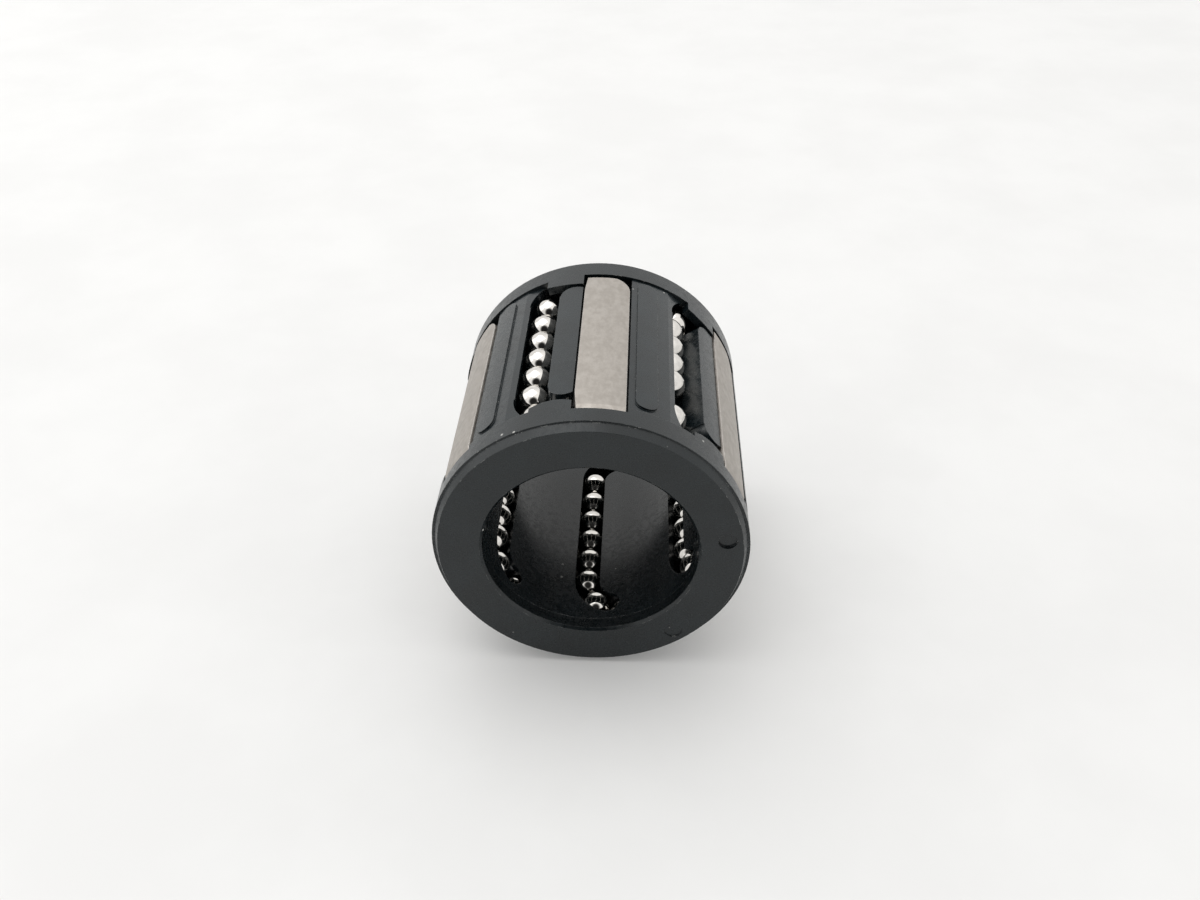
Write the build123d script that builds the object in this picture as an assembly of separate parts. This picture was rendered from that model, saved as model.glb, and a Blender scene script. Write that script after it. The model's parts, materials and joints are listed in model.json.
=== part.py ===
from build123d import *
import math
import os

# Linear ball bushing for a 20 mm shaft: a moulded cage, six steel raceway plates let into its
# outside, six closed circuits of balls, and a moulded ring snapped over each end of the cage.
#
# Frame: millimetres, origin at the centre of the bore, the shaft along Y, the front face at -Y,
# +Z up. Angles run from +Z towards +X. A circuit is drawn with its raceway plate straight up
# and is then turned about Y into its place.

# ---- standard sizes of the bushing ----
OUTER_R = 15.0
LENGTH = 30.0
SHAFT_R = 10.0
BALL_R = 3.175 / 2
CIRCUITS = 6
FIRST_PLATE_ANGLE = 3.0

# ---- cage and end rings ----
BORE_R = 10.21
BORE_CHAMFER = 0.25
CAGE_R = 14.82          # the cage lies just under the outside, and only its pads reach it
SPIGOT_R = 14.15        # the cage's reduced ends, which the rings sit over
SPIGOT_HALF = 13.5
RING_LIP_Y = 11.75      # where each ring's rim meets the cage's outside
RING_STEP = 0.2         # narrow shoulder where the rim steps in
RING_CONE = 0.43        # radial width of the cone from there to the face
RING_CONE_Y = 0.79      # its length along the shaft

# ---- ball circuit ----
RUNNING_CLEARANCE = 0.025  # between the loaded balls and the shaft
LOADED_R = SHAFT_R + BALL_R + RUNNING_CLEARANCE
RETURN_R = 12.7           # radius of the return row's ball centres
RETURN_ANGLE = -29.0      # from the raceway plate's middle
TURN_Y = 8.3              # where the straight rows end and the turns begin
TURN_TILT = 2.0           # each turn's path climbs away from the shaft at this angle
TRACK_CLEARANCE = 0.05    # between a ball and its groove
ROW_BALLS = 5
ROW_PITCH = 2 * BALL_R + 0.025
MOUTH_HALF = 1.55         # half the width of the return slot's mouth, under a ball's radius
MOUTH_FROM = 0.6          # height above the ball centres where its lips start
SHAFT_SLOT_HALF = 1.27
SHAFT_SLOT_HOOK = 72.0    # how far round each turn the slot to the shaft goes, in degrees

# ---- raceway plates ----
PLATE_HALF = 2.32
PLATE_FRONT_Y = -12.35
PLATE_REAR_Y = 11.35
PLATE_CORNER_R = 2.65        # the one big corner, over the balls' way into the rear turn
PLATE_TAPER = 0.25           # the other corners lean in by this much
PLATE_TAPER_LENGTH = 2.6
PLATE_EDGE_DROP = 0.13       # the outside falls away towards both ends
PLATE_END_TAPER = 0.65
PLATE_SEAT_Z = 12.92         # the flat underside, which rests on the cage
PLATE_RAMP_Z = 13.55         # the raised underside at both ends, which frees the balls
PLATE_RAMP_START = 7.8
PLATE_RAMP_LENGTH = 1.6
RACEWAY_GAP = 0.04
RACEWAY_R = 1.66
POCKET_HALF = 2.5

# ---- tongues of the end rings, over the turns of each circuit ----
TONGUE_FROM = -24.8
TONGUE_TO = -9.7
FRONT_TONGUE_Y = (11.2, 10.72, 11.05)
REAR_TONGUE_Y = (10.45, 10.15, 9.95)
SKIRT_PAST_TONGUE = 0.5

# ---- shallow moulding details ----
PAD_FROM = 12.2
PAD_TO = 20.4
PAD_HALF_LENGTH = 11.1
PAD_CORNER_R = 1.0
BEVEL_ANGLE = -34.6
BEVEL_SLOPE = 12.7
BEVEL_REACH = 3.0       # right across the slot, and over its rounded corners
MARK_R = 0.9
MARK_CENTRE_R = 12.93
MARKS = ((80.8, 0.25), (140.8, 0.1))  # angle and depth

# ---- where each circuit's balls stand at rest ----
TRAIN_SHIFT = (0.27, -1.1, -1.14, -1.0, -1.0, 0.55)  # how far each train has run on
FRONT_TURN_BALLS = (-1, 0, 1)                         # places round a turn, about its middle
REAR_TURN_BALLS = (-1, 1)                             # one place is free, so that the train can run
GAP_CIRCUIT = 1                                       # here the free place is in the return row
GAP_BALL_Y = -7.8

# ---- cutters ----
CUT = 8.0       # depth of a block that cuts a wall
PAST = 1.0      # how far a round cutter runs past the face it cuts
OUTWARDS = 6.0  # from the track plane out through the cage
INWARDS = 3.0   # and in through the bore


def radial(radius, angle):
    """Point in the XZ plane at this radius and angle."""
    return Vector(radius * math.sin(math.radians(angle)), 0, radius * math.cos(math.radians(angle)))


def disc(radius, y0, y1):
    """Round solid about the shaft's axis, from y0 to y1."""
    return Pos(0, (y0 + y1) / 2, 0) * Rot(90, 0, 0) * Cylinder(radius, y1 - y0)


def tube(outer, inner, y0, y1):
    return disc(outer, y0, y1) - disc(inner, y0 - PAST, y1 + PAST)


def placed(circuit, shape):
    """Turn a shape drawn with its plate straight up into its circuit's place."""
    return shape.rotate(Axis.Y, FIRST_PLATE_ANGLE + circuit * 360 / CIRCUITS)


# The circuit is a flat racetrack. Its plane holds the loaded row and the return row: local x
# runs along the shaft, local y from the loaded row to the return row, local z outwards.
LOADED = radial(LOADED_R, 0)
RETURN = radial(RETURN_R, RETURN_ANGLE)
ACROSS = (RETURN - LOADED).normalized()
TURN_R = (RETURN - LOADED).length / 2
TRACK = Plane(origin=(LOADED + RETURN) * 0.5, x_dir=(0, 1, 0), z_dir=Vector(0, 1, 0).cross(ACROSS))
TRACK_HALF = BALL_R + TRACK_CLEARANCE
TURN_PITCH = 2 * math.degrees(math.asin(ROW_PITCH / 2 / TURN_R))


def track_ring(half_width):
    """Footprint of the racetrack in the track plane."""
    outer = SlotCenterToCenter(2 * TURN_Y, 2 * (TURN_R + half_width))
    return outer - SlotCenterToCenter(2 * TURN_Y, 2 * (TURN_R - half_width))


def track_groove():
    """Round-bottomed groove of the racetrack, open to the outside, with lips on the return row."""
    groove = extrude(track_ring(TRACK_HALF), OUTWARDS)
    for side in (-1, 1):
        row = Pos(0, side * TURN_R, 0) * Rot(0, 90, 0) * Cylinder(TRACK_HALF, 2 * TURN_Y)
        half_space = Pos(side * (TURN_Y + CUT / 2), 0, 0) * Box(CUT, 2 * CUT, 2 * CUT)
        turn = Pos(side * TURN_Y, 0, 0) * Torus(TURN_R, TRACK_HALF) & half_space
        lip_middle = TURN_R + side * (TRACK_HALF + MOUTH_HALF) / 2
        lip = Pos(0, lip_middle, MOUTH_FROM + CUT / 2) * Box(2 * TURN_Y, TRACK_HALF - MOUTH_HALF, CUT)
        groove = groove + row + turn - lip
    return TRACK * groove


def shaft_slot():
    """Slot through which the loaded balls reach the shaft, hooked round the start of each turn."""
    strip = Pos(0, -TURN_R) * Rectangle(2 * TURN_Y, 2 * SHAFT_SLOT_HALF)
    for side in (-1, 1):
        arc = CenterArc((side * TURN_Y, 0), TURN_R, -90, side * SHAFT_SLOT_HOOK)
        hook_end = arc @ 1
        hook = trace(arc, 2 * SHAFT_SLOT_HALF) + Pos(hook_end.X, hook_end.Y) * Circle(SHAFT_SLOT_HALF)
        strip = strip + hook
    return TRACK * extrude(strip, -INWARDS)


def plate_pocket():
    length = RING_LIP_Y - PLATE_FRONT_Y
    middle = (RING_LIP_Y + PLATE_FRONT_Y) / 2
    return Pos(0, middle, PLATE_SEAT_Z + CUT / 2) * Box(2 * POCKET_HALF, length, CUT)


def housing_pad():
    """Low rounded pad on the wide land between a plate and the next circuit."""
    middle = (PAD_FROM + PAD_TO) / 2
    width = 2 * OUTER_R * math.sin(math.radians((PAD_TO - PAD_FROM) / 2))
    outline = RectangleRounded(width, 2 * PAD_HALF_LENGTH, PAD_CORNER_R)
    block = Pos(0, 0, SPIGOT_R) * extrude(outline, CUT)
    return block.rotate(Axis.Y, middle) & tube(OUTER_R, SPIGOT_R, -RING_LIP_Y, RING_LIP_Y)


def slot_bevel():
    """Sloping land along the outer side of the return slot."""
    block = Pos(BEVEL_REACH / 2, 0, CUT / 2) * Box(BEVEL_REACH, 2 * RING_LIP_Y, CUT)
    return (Pos(0, 0, CAGE_R) * Rot(0, BEVEL_SLOPE, 0) * block).rotate(Axis.Y, BEVEL_ANGLE)


def make_cage():
    cage = tube(CAGE_R, BORE_R, -RING_LIP_Y, RING_LIP_Y)
    cage = cage + tube(SPIGOT_R, BORE_R, -SPIGOT_HALF, SPIGOT_HALF)
    pad = housing_pad()
    cutters = (track_groove() + shaft_slot() + plate_pocket(), slot_bevel())
    for circuit in range(CIRCUITS):
        cage = cage + placed(circuit, pad)
        for cutter in cutters:
            cage = cage - placed(circuit, cutter)
    return cage


def tongue(end, depths):
    """Tongue that roofs one turn: its free edge runs through three heights from side to side."""
    middle = (TONGUE_FROM + TONGUE_TO) / 2
    half = OUTER_R * math.sin(math.radians((TONGUE_TO - TONGUE_FROM) / 2))
    first, crest, last = (end * depth for depth in depths)
    root = end * (RING_LIP_Y + PAST)
    edge = ThreePointArc((-half, first), (0, crest), (half, last))
    sides = Polyline((half, last), (half, root), (-half, root), (-half, first))
    block = Pos(0, 0, BORE_R) * extrude(make_face([edge, sides]), CUT, dir=(0, 0, 1))
    return block.rotate(Axis.Y, middle)


def make_ring(end, tongue_depths):
    """End ring: a flat annular face, a skirt over the cage's spigot, and one tongue per circuit."""
    face_y = LENGTH / 2
    cone_r = OUTER_R - RING_STEP
    skirt_y = min(tongue_depths) - SKIRT_PAST_TONGUE
    corners = (
        (BORE_R + BORE_CHAMFER, face_y),
        (cone_r - RING_CONE, face_y),
        (cone_r, face_y - RING_CONE_Y),
        (OUTER_R, face_y - RING_CONE_Y),
        (OUTER_R, skirt_y),
        (SPIGOT_R, skirt_y),
        (SPIGOT_R, SPIGOT_HALF),
        (BORE_R, SPIGOT_HALF),
        (BORE_R, face_y - BORE_CHAMFER),
    )
    profile = Polyline(*((r, end * y) for r, y in corners), close=True)
    between_tongues = tube(OUTER_R + PAST, SPIGOT_R - PAST, 0, RING_LIP_Y)
    if end < 0:
        between_tongues = tube(OUTER_R + PAST, SPIGOT_R - PAST, -RING_LIP_Y, 0)
    for circuit in range(CIRCUITS):
        between_tongues = between_tongues - placed(circuit, tongue(end, tongue_depths))
    return revolve(make_face(profile), Axis.Y) - between_tongues


def make_front_ring():
    ring = make_ring(-1, FRONT_TONGUE_Y)
    notch = plate_pocket()
    for circuit in range(CIRCUITS):
        ring = ring - placed(circuit, notch)
    for angle, depth in MARKS:
        pin_mark = radial(MARK_CENTRE_R, angle)
        ring = ring - Pos(pin_mark.X, 0, pin_mark.Z) * disc(MARK_R, -LENGTH, depth - LENGTH / 2)
    return ring


def make_plate():
    """Hardened plate: flush with the outside, a ball groove inside that ramps away at both ends."""
    narrow = PLATE_HALF - PLATE_TAPER
    rear_arc_x = PLATE_HALF - PLATE_CORNER_R
    rear_arc_y = PLATE_REAR_Y - PLATE_CORNER_R
    near_arc_y = PLATE_FRONT_Y + PLATE_TAPER_LENGTH
    far_taper_y = PLATE_REAR_Y - PLATE_TAPER_LENGTH
    corner = CenterArc((rear_arc_x, rear_arc_y), PLATE_CORNER_R, 0, 90)
    rest = Polyline(
        (rear_arc_x, PLATE_REAR_Y),
        (-narrow, PLATE_REAR_Y),
        (-PLATE_HALF, far_taper_y),
        (-PLATE_HALF, near_arc_y),
        (-narrow, PLATE_FRONT_Y),
        (PLATE_HALF, PLATE_FRONT_Y),
        (PLATE_HALF, rear_arc_y),
    )
    plate = extrude(make_face([corner, rest]), OUTER_R + PAST)
    ramp_end = PLATE_RAMP_START + PLATE_RAMP_LENGTH
    inside = Polyline(
        (-LENGTH, 0),
        (-LENGTH, PLATE_RAMP_Z),
        (-ramp_end, PLATE_RAMP_Z),
        (-PLATE_RAMP_START, PLATE_SEAT_Z),
        (PLATE_RAMP_START, PLATE_SEAT_Z),
        (ramp_end, PLATE_RAMP_Z),
        (LENGTH, PLATE_RAMP_Z),
        (LENGTH, 0),
        close=True,
    )
    plate = plate - extrude(Plane.YZ * make_face(inside), CUT, both=True)
    end_r = OUTER_R - PLATE_EDGE_DROP
    outside = Polyline(
        (0, PLATE_FRONT_Y),
        (end_r, PLATE_FRONT_Y),
        (OUTER_R, PLATE_FRONT_Y + PLATE_END_TAPER),
        (OUTER_R, PLATE_REAR_Y - PLATE_END_TAPER / 2),
        (end_r, PLATE_REAR_Y),
        (0, PLATE_REAR_Y),
        close=True,
    )
    plate = plate & revolve(make_face(outside), Axis.Y)
    raceway_z = LOADED_R + BALL_R + RACEWAY_GAP - RACEWAY_R
    raceway = Pos(0, 0, raceway_z) * disc(RACEWAY_R, -LENGTH, LENGTH)
    return plate - raceway


def row_ys(shift):
    """Ball positions along a straight row, evenly spaced about the middle."""
    return [(ball - (ROW_BALLS - 1) / 2) * ROW_PITCH + shift for ball in range(ROW_BALLS)]


def turn_angles(shift, balls):
    """Angles of the balls that a turn holds, from the side they enter on."""
    run_on = math.degrees(shift / TURN_R)
    return [90 + ball * TURN_PITCH + run_on for ball in balls]


def balls_at(circuit, points):
    """One group of balls, each a separate solid, at points of the track plane."""
    balls = []
    for x, y, lift in points:
        centre = TRACK.from_local_coords(Vector(x, y, lift))
        balls.append(placed(circuit, Pos(*centre) * Sphere(BALL_R)))
    return Compound(balls)


def turn_points(side, angles):
    """Ball places round the front turn (side -1) or the rear one (side 1)."""
    points = []
    for angle in angles:
        reach = TURN_R * math.sin(math.radians(angle))
        along = side * (TURN_Y + reach * math.cos(math.radians(TURN_TILT)))
        across = -side * TURN_R * math.cos(math.radians(angle))
        points.append((along, across, reach * math.sin(math.radians(TURN_TILT))))
    return points


def circuit_balls(circuit):
    """The four groups of one circuit: loaded row, rear turn, return row and front turn."""
    shift = TRAIN_SHIFT[circuit]
    return_ys = row_ys(-shift)
    front_balls, rear_balls = FRONT_TURN_BALLS, REAR_TURN_BALLS
    if circuit == GAP_CIRCUIT:
        return_ys = [GAP_BALL_Y] + return_ys[1:]
        front_balls, rear_balls = FRONT_TURN_BALLS[1:], FRONT_TURN_BALLS
    return {
        "loaded_balls": [(y, -TURN_R, 0) for y in row_ys(shift)],
        "return_balls": [(y, TURN_R, 0) for y in return_ys],
        "front_turn_balls": turn_points(-1, turn_angles(shift, front_balls)),
        "rear_turn_balls": turn_points(1, turn_angles(shift, rear_balls)),
    }


def main():
    os.makedirs("parts", exist_ok=True)
    export_step(make_cage(), "parts/ball_cage.step")
    export_step(make_front_ring(), "parts/front_end_ring.step")
    export_step(make_ring(1, REAR_TONGUE_Y), "parts/rear_end_ring.step")
    plate = make_plate()
    for circuit in range(CIRCUITS):
        number = circuit + 1
        export_step(placed(circuit, plate), f"parts/raceway_plate_{number}.step")
        for group, points in circuit_balls(circuit).items():
            export_step(balls_at(circuit, points), f"parts/{group}_{number}.step")


main()
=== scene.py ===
import json
import math

import bpy
from mathutils import Euler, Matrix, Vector


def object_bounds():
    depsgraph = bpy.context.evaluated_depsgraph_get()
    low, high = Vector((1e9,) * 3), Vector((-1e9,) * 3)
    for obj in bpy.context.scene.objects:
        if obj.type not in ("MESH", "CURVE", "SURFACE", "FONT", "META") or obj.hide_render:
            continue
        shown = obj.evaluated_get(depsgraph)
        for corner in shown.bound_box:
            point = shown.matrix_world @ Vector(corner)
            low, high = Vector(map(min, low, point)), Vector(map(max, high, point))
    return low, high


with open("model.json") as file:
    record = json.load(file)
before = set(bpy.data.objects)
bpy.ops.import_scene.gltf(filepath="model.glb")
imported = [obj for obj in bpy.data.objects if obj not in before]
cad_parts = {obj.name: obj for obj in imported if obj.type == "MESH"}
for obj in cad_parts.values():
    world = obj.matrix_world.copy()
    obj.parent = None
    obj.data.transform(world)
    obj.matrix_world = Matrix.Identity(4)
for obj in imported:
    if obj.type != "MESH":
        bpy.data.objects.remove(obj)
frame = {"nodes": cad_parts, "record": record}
cad_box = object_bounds()

# A linear ball bushing lying on its side: moulded black cage and end rings, ground steel
# raceway plates, polished balls. Metres, in the part's own frame: shaft along Y, front at -Y.

MM = 0.001
FLOOR_Z = cad_box[0][2]

# ---- camera ----
CAMERA_PLACE = Vector((3.81, -88.63, 69.59)) * MM
CAMERA_YAW = 2.24
CAMERA_DOWN = 37.8
CAMERA_LENS = 32.26
SENSOR_WIDTH = 36.0

# ---- room light ----
ROOM_SIDES = 0.9
ROOM_TOP = 1.08
ROOM_SIDES_UP_TO = 0.5    # heights, as sines of the elevation, between which the light grows
ROOM_TOP_FROM = 0.9
ROOM_DARK = 0.03          # share of the room's light that the dark wall sends back
ROOM_DARK_SIDE = Vector((0.0, -0.74, 0.67)).normalized()
ROOM_DARK_INNER = 18      # degrees from the middle of the dark wall to where it starts to fade
ROOM_DARK_OUTER = 38      # and to where the pale room begins
ROOM_TINT = (1.0, 0.995, 0.985)
TABLE_HALF = 2.0
TABLE_GLOW = 0.14         # the table top is backlit a little, which softens the shadow
SOFTBOXES = {             # place, size and watts
    "overhead": ((-0.14, 0.12, 0.5), 0.5, 0.62),
    "left": ((-0.52, 0.08, 0.3), 0.45, 0.28),
}


# ---- node helpers ----
class Shader:
    """A material's node tree, with short calls for the nodes that the finishes share."""

    def __init__(self, name):
        self.material = bpy.data.materials.new(name)
        self.material.use_nodes = True
        self.tree = self.material.node_tree
        self.surface = self.tree.nodes["Principled BSDF"]
        self.place = self.node("ShaderNodeTexCoord").outputs["Object"]

    def node(self, kind, **settings):
        made = self.tree.nodes.new(kind)
        for name, value in settings.items():
            setattr(made, name, value)
        return made

    def link(self, source, socket):
        self.tree.links.new(source, socket)

    def put(self, socket, value):
        """Sets a socket to a number or colour, or links it to another node's output."""
        if isinstance(value, bpy.types.NodeSocket):
            self.link(value, socket)
        else:
            socket.default_value = value

    def math(self, operation, first, second):
        made = self.node("ShaderNodeMath", operation=operation)
        for socket, value in zip(made.inputs, (first, second)):
            self.put(socket, value)
        return made.outputs[0]

    def stretched(self, scale):
        """The place on the part, scaled by a different amount along each axis."""
        made = self.node("ShaderNodeVectorMath", operation="MULTIPLY")
        self.link(self.place, made.inputs[0])
        made.inputs[1].default_value = scale
        return made.outputs[0]

    def noise(self, scale, detail=3.0, rough=0.5, along=None):
        """Noise from 0 to 1 whose features are about 1/scale metres across."""
        made = self.node("ShaderNodeTexNoise")
        self.link(along or self.place, made.inputs["Vector"])
        made.inputs["Scale"].default_value = scale
        made.inputs["Detail"].default_value = detail
        made.inputs["Roughness"].default_value = rough
        return made.outputs["Fac"]

    def ramp(self, value, low, high, to_low=0.0, to_high=1.0):
        """Smooth step of a value from one range to another."""
        made = self.node("ShaderNodeMapRange", interpolation_type="SMOOTHSTEP")
        for socket, number in zip(made.inputs, (value, low, high, to_low, to_high)):
            self.put(socket, number)
        return made.outputs["Result"]

    def blend(self, share, first, second):
        """Mix of two colours."""
        made = self.node("ShaderNodeMix", data_type="RGBA")
        self.put(made.inputs["Factor"], share)
        self.put(made.inputs["A"], first)
        self.put(made.inputs["B"], second)
        return made.outputs["Result"]

    def specks(self, scale, size, share):
        """Mask of scattered round specks: cells per metre, radius in cells, share of cells."""
        cells = self.node("ShaderNodeTexVoronoi", feature="F1")
        self.link(self.place, cells.inputs["Vector"])
        cells.inputs["Scale"].default_value = scale
        chosen = self.math("LESS_THAN", self.red(cells.outputs["Color"]), share)
        near = self.ramp(cells.outputs["Distance"], size * 0.6, size, 1.0, 0.0)
        return self.math("MULTIPLY", chosen, near)

    def red(self, colour):
        split = self.node("ShaderNodeSeparateColor")
        self.link(colour, split.inputs["Color"])
        return split.outputs["Red"]

    def soft_edges(self, radius):
        """Normal rounded over the edges, and a mask of where the edges are."""
        bevel = self.node("ShaderNodeBevel", samples=4)
        bevel.inputs["Radius"].default_value = radius
        flat = self.node("ShaderNodeNewGeometry").outputs["Normal"]
        dot = self.node("ShaderNodeVectorMath", operation="DOT_PRODUCT")
        self.link(bevel.outputs["Normal"], dot.inputs[0])
        self.link(flat, dot.inputs[1])
        return bevel.outputs["Normal"], self.ramp(dot.outputs["Value"], 0.8, 0.99, 1.0, 0.0)

    def bump(self, height, distance, normal, strength=1.0):
        made = self.node("ShaderNodeBump")
        made.inputs["Distance"].default_value = distance
        made.inputs["Strength"].default_value = strength
        self.link(height, made.inputs["Height"])
        self.link(normal, made.inputs["Normal"])
        return made.outputs["Normal"]


def colour(red, green, blue):
    return (red, green, blue, 1.0)


# ---- finishes ----
PLASTIC_IOR = 1.6
PLASTIC_EDGE = 0.08 * MM  # how far the light sees a moulded edge rounded
SCUFF_FROM = 0.59         # noise level above which an edge is scuffed pale
SCUFF_FADE = 0.04
DUST_SHARE = 0.035        # share of cells that hold a speck of dust
STEEL_EDGE = 0.14 * MM
# pale colour for rubbed edges: part wear, part painted highlight along the moulded edges
RUBBED_AND_HIGHLIT_PLASTIC = colour(0.1, 0.108, 0.11)
SCUFFED_PLASTIC = colour(0.5, 0.5, 0.48)
DUST = colour(0.42, 0.42, 0.4)


def plastic(name, tone, roughness, wear_and_highlight):
    """Moulded black plastic: fine grain, faint flow clouds, scuffed edges, rubbed edges lightened partly as
    wear and partly as a painted edge highlight, dust specks.
    """
    s = Shader(name)
    normal, edges = s.soft_edges(PLASTIC_EDGE)
    clouds = s.ramp(s.noise(260, 4, 0.6), 0.3, 0.7, 0.8, 1.25)
    shade = s.node("ShaderNodeVectorMath", operation="SCALE")
    shade.inputs[0].default_value = tone
    s.link(clouds, shade.inputs["Scale"])
    # edges lightened with noise: part rubbed wear, part painted edge highlight
    rubbed_and_highlit = s.math("MULTIPLY", edges, s.ramp(s.noise(900, 3, 0.6), 0.42, 0.72, 0.1, wear_and_highlight))
    worn_and_highlit = s.blend(rubbed_and_highlit, shade.outputs[0], RUBBED_AND_HIGHLIT_PLASTIC)
    chips = s.ramp(s.noise(1300, 2, 0.5), SCUFF_FROM, SCUFF_FROM + SCUFF_FADE, 0.0, wear_and_highlight)
    worn_and_highlit = s.blend(s.math("MULTIPLY", edges, chips), worn_and_highlit, SCUFFED_PLASTIC)
    dust = s.specks(900, 0.15, DUST_SHARE)
    s.link(s.blend(dust, worn_and_highlit, DUST), s.surface.inputs["Base Color"])
    s.surface.inputs["IOR"].default_value = PLASTIC_IOR
    smooth = s.ramp(s.noise(1800, 3, 0.6), 0.3, 0.7, roughness - 0.06, roughness + 0.08)
    s.link(s.math("ADD", smooth, s.math("MULTIPLY", dust, 0.3)), s.surface.inputs["Roughness"])
    grain = s.bump(s.noise(2600, 2, 0.5), 0.0003 * MM, normal)
    s.link(grain, s.surface.inputs["Normal"])
    return s.material


def ground_steel(name):
    """Tumbled and ground steel: warm grey, faintly mottled, with edges painted brighter, partly as
    burnished wear and partly as a painted edge highlight.
    """
    s = Shader(name)
    normal, edges = s.soft_edges(STEEL_EDGE)
    mottle = s.noise(1500, 4, 0.7, along=s.stretched((1.0, 0.55, 1.0)))
    base = s.blend(s.ramp(mottle, 0.35, 0.65), colour(0.375, 0.35, 0.322), colour(0.43, 0.404, 0.375))
    # every edge lightened evenly: a painted edge highlight, standing in part for burnished edges
    rubbed_and_highlit = s.math("MULTIPLY", edges, 0.6)
    s.link(s.blend(rubbed_and_highlit, base, colour(0.8, 0.78, 0.75)), s.surface.inputs["Base Color"])
    s.surface.inputs["Metallic"].default_value = 1.0
    strokes = s.noise(1, 3, 0.6, along=s.stretched((5200, 260, 5200)))
    matte = s.ramp(s.noise(1500, 3, 0.6), 0.3, 0.7, 0.42, 0.56)
    s.link(s.math("SUBTRACT", matte, s.math("MULTIPLY", edges, 0.12)), s.surface.inputs["Roughness"])
    s.link(s.bump(strokes, 0.002 * MM, normal, 0.6), s.surface.inputs["Normal"])
    return s.material


def polished_balls(name):
    """Polished bearing steel with a breath of oil, so the gloss isn't even all over."""
    s = Shader(name)
    film = s.ramp(s.noise(1400, 3, 0.6), 0.4, 0.7)
    s.link(s.blend(film, colour(0.7, 0.68, 0.65), colour(0.6, 0.585, 0.56)), s.surface.inputs["Base Color"])
    s.surface.inputs["Metallic"].default_value = 1.0
    s.link(s.ramp(film, 0.0, 1.0, 0.03, 0.1), s.surface.inputs["Roughness"])
    normal = s.node("ShaderNodeNewGeometry").outputs["Normal"]
    s.link(s.bump(s.noise(3500, 2, 0.5), 0.0015 * MM, normal, 0.3), s.surface.inputs["Normal"])
    return s.material


FINISHES = {
    "cage_plastic": plastic("cage_plastic", (0.009, 0.0142, 0.0168), 0.25, 0.4),
    "ring_plastic": plastic("ring_plastic", (0.0065, 0.0108, 0.0128), 0.28, 0.8),
    "plate_steel": ground_steel("plate_steel"),
    "ball_steel": polished_balls("ball_steel"),
}

slots = {part["node"]: part["material_slot"] for part in frame["record"]["subparts"]}
for node, piece in frame["nodes"].items():
    piece.data.materials.clear()
    piece.data.materials.append(FINISHES[slots[node]])


# ---- floor, light and camera ----
def floor():
    """Plain pale table top with the faintest unevenness."""
    mesh = bpy.data.meshes.new("floor")
    sides = ((-1, -1), (1, -1), (1, 1), (-1, 1))
    corners = [(x * TABLE_HALF, y * TABLE_HALF, FLOOR_Z) for x, y in sides]
    mesh.from_pydata(corners, [], [(0, 1, 2, 3)])
    s = Shader("table_top")
    pale = s.ramp(s.noise(40, 4, 0.6), 0.3, 0.7)
    tone = s.blend(pale, colour(0.605, 0.604, 0.6), colour(0.635, 0.635, 0.631))
    s.link(tone, s.surface.inputs["Base Color"])
    s.surface.inputs["Roughness"].default_value = 0.6
    s.surface.inputs["Emission Color"].default_value = colour(1.0, 1.0, 0.99)
    s.surface.inputs["Emission Strength"].default_value = TABLE_GLOW
    mesh.materials.append(s.material)
    made = bpy.data.objects.new("floor", mesh)
    bpy.context.scene.collection.objects.link(made)


def smooth_step(tree, source, low, high, to_low, to_high):
    made = tree.nodes.new("ShaderNodeMapRange")
    made.interpolation_type = "SMOOTHSTEP"
    made.inputs["From Min"].default_value = low
    made.inputs["From Max"].default_value = high
    made.inputs["To Min"].default_value = to_low
    made.inputs["To Max"].default_value = to_high
    tree.links.new(source, made.inputs["Value"])
    return made.outputs["Result"]


def sky():
    """Pale room, with a dark patch of wall on the front side above the table."""
    world = bpy.data.worlds.new("room")
    world.use_nodes = True
    tree = world.node_tree
    direction = tree.nodes.new("ShaderNodeTexCoord").outputs["Generated"]
    towards = tree.nodes.new("ShaderNodeVectorMath")
    towards.operation = "DOT_PRODUCT"
    towards.inputs[1].default_value = ROOM_DARK_SIDE
    tree.links.new(direction, towards.inputs[0])
    fades_from = math.cos(math.radians(ROOM_DARK_OUTER))
    dark_from = math.cos(math.radians(ROOM_DARK_INNER))
    shade = smooth_step(tree, towards.outputs["Value"], fades_from, dark_from, 1.0, ROOM_DARK)
    height = tree.nodes.new("ShaderNodeSeparateXYZ")
    tree.links.new(direction, height.inputs["Vector"])
    pale = smooth_step(
        tree, height.outputs["Z"], ROOM_SIDES_UP_TO, ROOM_TOP_FROM, ROOM_SIDES, ROOM_TOP
    )
    both = tree.nodes.new("ShaderNodeMath")
    both.operation = "MULTIPLY"
    tree.links.new(pale, both.inputs[0])
    tree.links.new(shade, both.inputs[1])
    background = tree.nodes["Background"]
    background.inputs["Color"].default_value = colour(*ROOM_TINT)
    tree.links.new(both.outputs[0], background.inputs["Strength"])
    bpy.context.scene.world = world


def softbox(name, place, size, watts):
    """Square area light aimed at the part."""
    light = bpy.data.lights.new(name, "AREA")
    light.size = size
    light.energy = watts
    made = bpy.data.objects.new(name, light)
    made.location = place
    made.rotation_euler = (-Vector(place)).to_track_quat("-Z", "Y").to_euler()
    bpy.context.scene.collection.objects.link(made)


def camera():
    data = bpy.data.cameras.new("camera")
    data.sensor_width = SENSOR_WIDTH
    data.lens = CAMERA_LENS
    data.clip_start = MM
    made = bpy.data.objects.new("camera", data)
    made.location = CAMERA_PLACE
    made.rotation_euler = Euler((math.radians(90 - CAMERA_DOWN), 0, math.radians(CAMERA_YAW)))
    bpy.context.scene.collection.objects.link(made)
    bpy.context.scene.camera = made


floor()
sky()
for name, (place, across, watts) in SOFTBOXES.items():
    softbox(name, place, across, watts)
camera()
bpy.context.scene.view_settings.view_transform = "Standard"
bpy.context.scene.view_settings.look = "Medium High Contrast"
